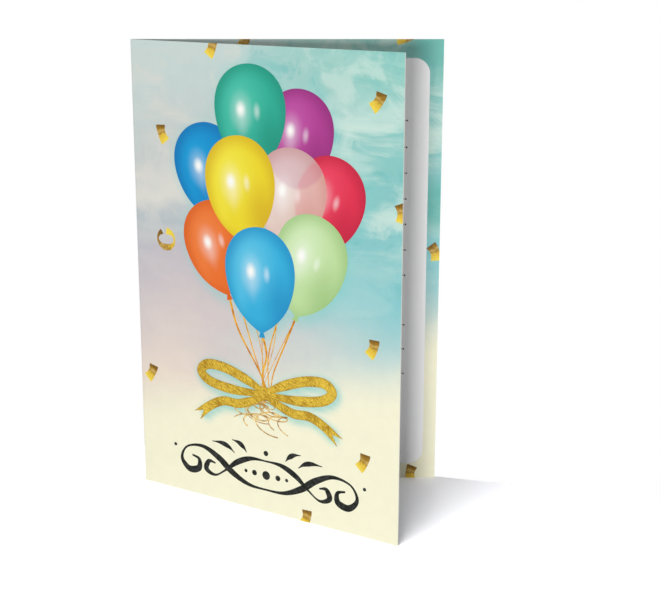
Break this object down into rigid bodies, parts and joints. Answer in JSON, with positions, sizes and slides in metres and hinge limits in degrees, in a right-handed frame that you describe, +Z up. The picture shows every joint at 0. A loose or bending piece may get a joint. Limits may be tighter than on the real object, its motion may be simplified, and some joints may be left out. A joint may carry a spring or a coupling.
{
  "type": "invitation card",
  "caption": "Folded upright greeting card on printed board, creased along its left side and standing part open on its lower edge.",
  "frame": {"origin": "on the surface that the card stands on, under the middle of its footprint", "axes": "+Z up along the fold; +X from the fold towards the open mouth, half way between the panels; -Y towards the side that the front cover faces"},
  "size_m": [0.0958, 0.0578, 0.15],
  "materials": {
    "printed_board": "satin"
  },
  "bodies": {
    "root": {"folded_card": "printed_board"}
  },
  "joints": []
}
